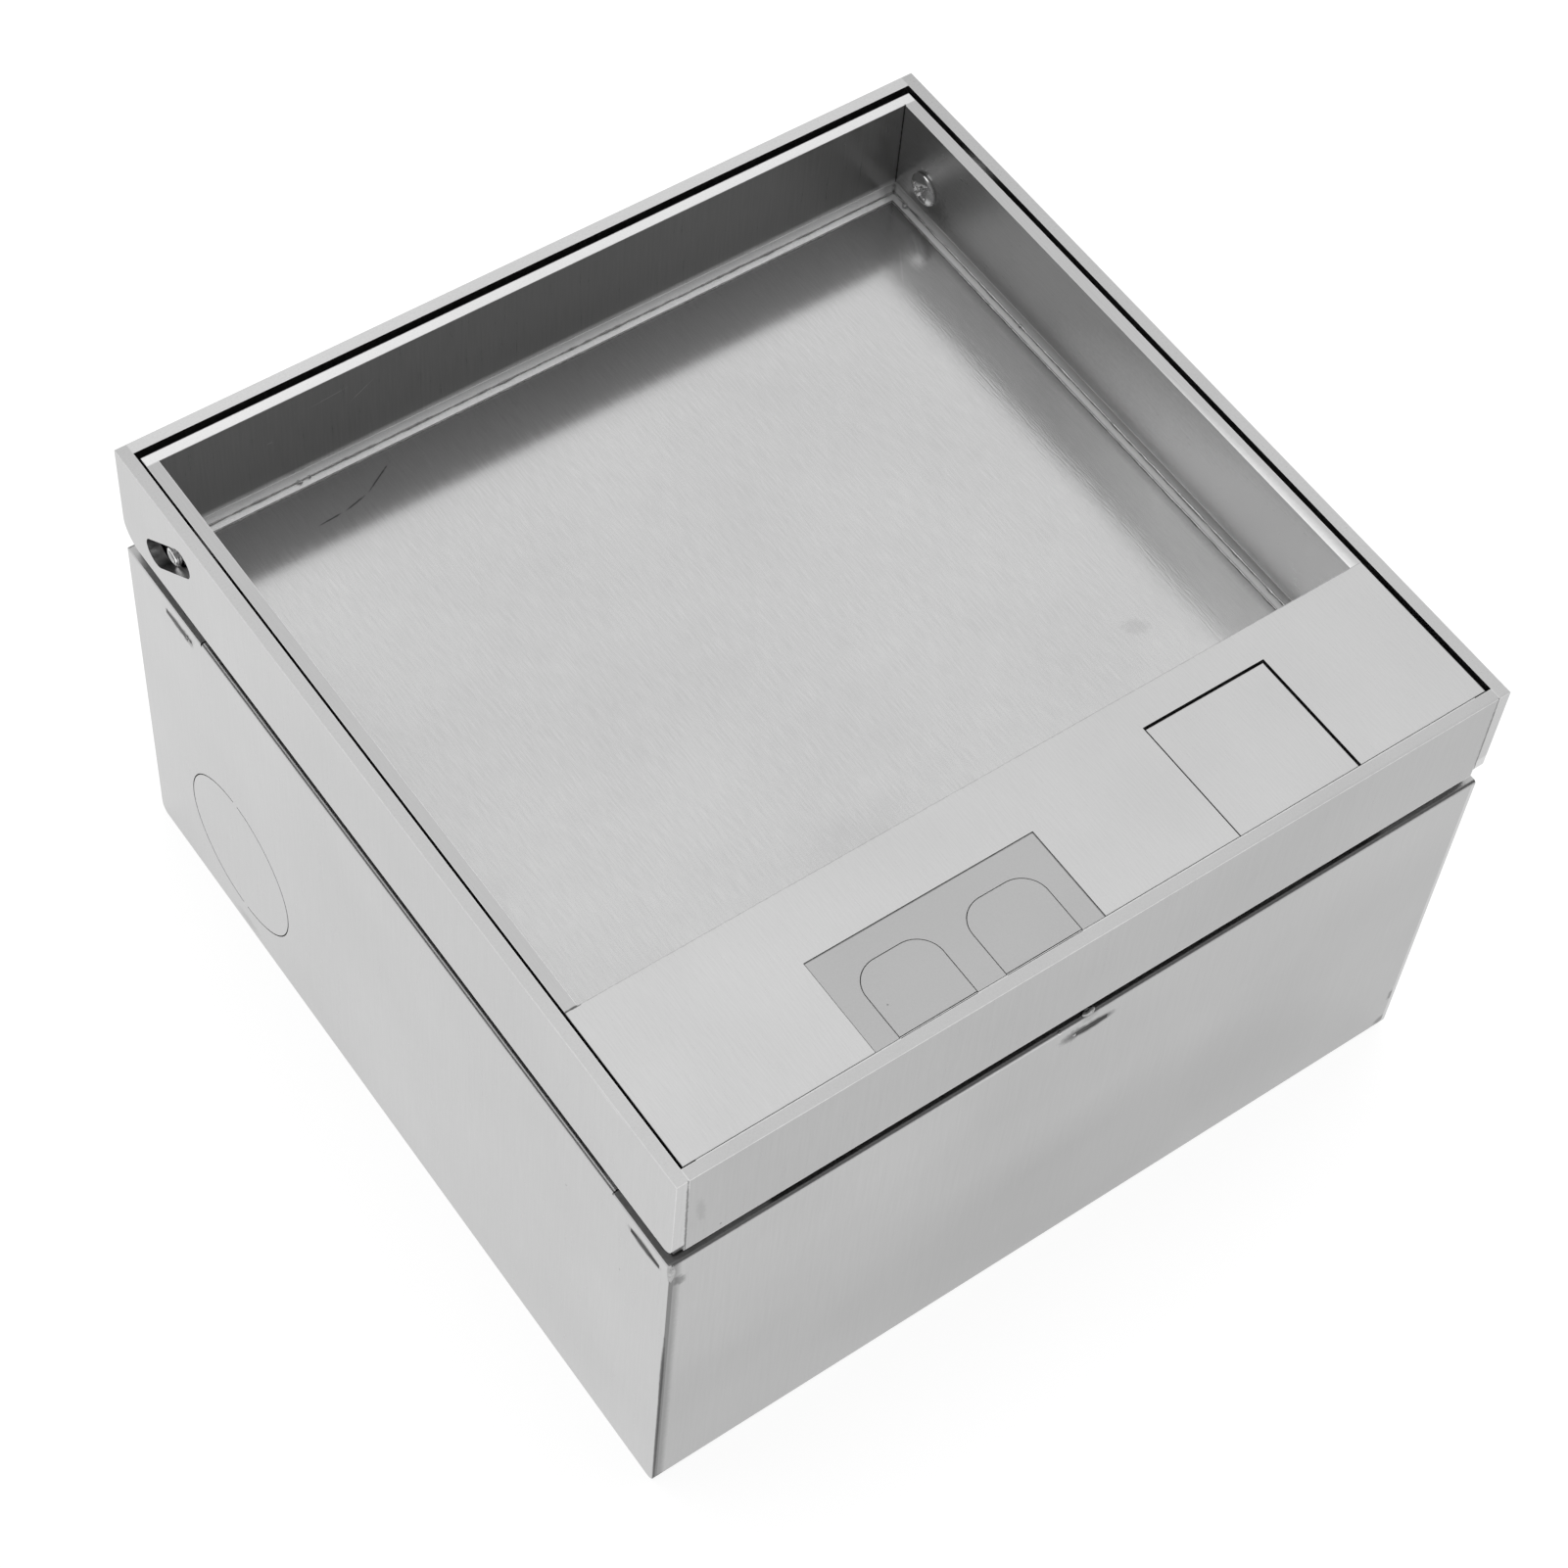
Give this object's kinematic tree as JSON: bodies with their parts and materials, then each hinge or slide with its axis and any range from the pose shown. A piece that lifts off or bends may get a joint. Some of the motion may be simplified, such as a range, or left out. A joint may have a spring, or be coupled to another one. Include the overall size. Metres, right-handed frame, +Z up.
{
  "type": "floor socket box",
  "caption": "Square stainless floor socket box: lift-up tray lid for a floor finish, sprung finger flap and cable outlet, in a trim frame over a folded steel box with sockets.",
  "frame": {"origin": "centre of the box's underside", "axes": "+Z up to floor level, +Y towards the hinge at the back, -Y towards the cable outlet and finger flap, +X to the right seen from the front"},
  "size_m": [0.25, 0.25, 0.1615],
  "materials": {
    "frame_stainless": "satin stainless steel, fine upright grain, sawn edges ground flush",
    "lid_stainless": "satin stainless steel with marks from grinding the welds",
    "tray_floor_stainless": "satin stainless sheet, fine grain front to back, a few scratches",
    "strip_stainless": "satin stainless plate, fine grain front to back",
    "box_sheet": "satin stainless sheet, upright grain, bright laser-cut edges",
    "bracket_steel": "plain mill-finish sheet",
    "carrier_steel": "matt grey powder coat",
    "screw_steel": "bright zinc",
    "spring_steel": "drawn spring wire",
    "outlet_plastic": "moulded grey plastic, fine texture",
    "flap_plastic": "moulded grey plastic, fine texture",
    "module_plastic": "white moulded plastic",
    "jack_plastic": "black moulded plastic",
    "contact_brass": "stamped brass",
    "pad_rubber": "black rubber"
  },
  "bodies": {
    "box": {"left_bar": "frame_stainless", "right_bar": "frame_stainless", "front_bar": "frame_stainless", "rear_bar": "frame_stainless", "box_shell": "box_sheet", "left_side_panel": "box_sheet", "right_side_panel": "box_sheet", "front_middle_bracket": "bracket_steel", "rear_middle_bracket": "bracket_steel", "corner_bracket_front_left": "bracket_steel", "corner_bracket_front_right": "bracket_steel", "corner_bracket_rear_left": "bracket_steel", "corner_bracket_rear_right": "bracket_steel", "frame_seat_front_left": "bracket_steel", "frame_seat_front_right": "bracket_steel", "frame_seat_rear_left": "bracket_steel", "frame_seat_rear_right": "bracket_steel", "frame_spacers": "screw_steel", "frame_screws": "screw_steel", "weld_nuts": "screw_steel", "lid_rest_pads": "pad_rubber", "carrier_rail_left": "bracket_steel", "carrier_rail_right": "bracket_steel", "socket_carrier": "carrier_steel", "carrier_screws": "screw_steel", "power_socket_1": "module_plastic", "power_socket_2": "module_plastic", "power_socket_3": "module_plastic", "contact_sleeves": "contact_brass", "earth_contacts": "contact_brass", "data_module_left": "module_plastic", "data_module_right": "module_plastic", "data_jacks": "jack_plastic", "blank_module": "module_plastic", "earth_stud": "screw_steel", "earth_fixings": "screw_steel"},
    "hinge_slider": {"hinge_screws": "screw_steel"},
    "lid": {"tray_left_wall": "lid_stainless", "tray_right_wall": "lid_stainless", "tray_rear_wall": "lid_stainless", "tray_front_wall": "lid_stainless", "tray_floor": "tray_floor_stainless", "service_strip": "strip_stainless", "finger_flap_lugs": "lid_stainless", "finger_flap_pin": "screw_steel", "cable_outlet": "outlet_plastic", "cable_flap_pins": "screw_steel"},
    "finger_flap": {"finger_flap": "strip_stainless", "finger_flap_spring": "spring_steel"},
    "cable_flap_left": {"cable_flap_left": "flap_plastic", "cable_flap_spring_left": "spring_steel"},
    "cable_flap_right": {"cable_flap_right": "flap_plastic", "cable_flap_spring_right": "spring_steel"}
  },
  "joints": [
    {"name": "hinge_slide", "type": "slide", "parent": "box", "child": "hinge_slider", "axis": [0, -0.7793, 0.6266], "range_m": [0, 0.0135]},
    {"name": "lid_hinge", "type": "hinge", "parent": "hinge_slider", "child": "lid", "pos_m": [0, 0.10342, 0.13973], "axis": [-1, 0, 0], "range_deg": [0, 45]},
    {"name": "finger_flap_hinge", "type": "hinge", "parent": "lid", "child": "finger_flap", "pos_m": [0.0602, -0.1188, 0.1563], "axis": [-1, 0, 0], "range_deg": [0, 70], "stiffness_Nm_per_rad": 0.01, "springref_deg": -85.94},
    {"name": "cable_flap_left_hinge", "type": "hinge", "parent": "lid", "child": "cable_flap_left", "pos_m": [-0.04915, -0.1042, 0.1579], "axis": [1, 0, 0], "range_deg": [0, 80], "stiffness_Nm_per_rad": 0.001, "springref_deg": -57.3},
    {"name": "cable_flap_right_hinge", "type": "hinge", "parent": "lid", "child": "cable_flap_right", "pos_m": [-0.01825, -0.1042, 0.1579], "axis": [1, 0, 0], "range_deg": [0, 80], "stiffness_Nm_per_rad": 0.001, "springref_deg": -57.3}
  ],
  "couplings": [
    {"joint": "hinge_slide", "follows": "lid_hinge", "m_per_rad": 0.01719}
  ]
}
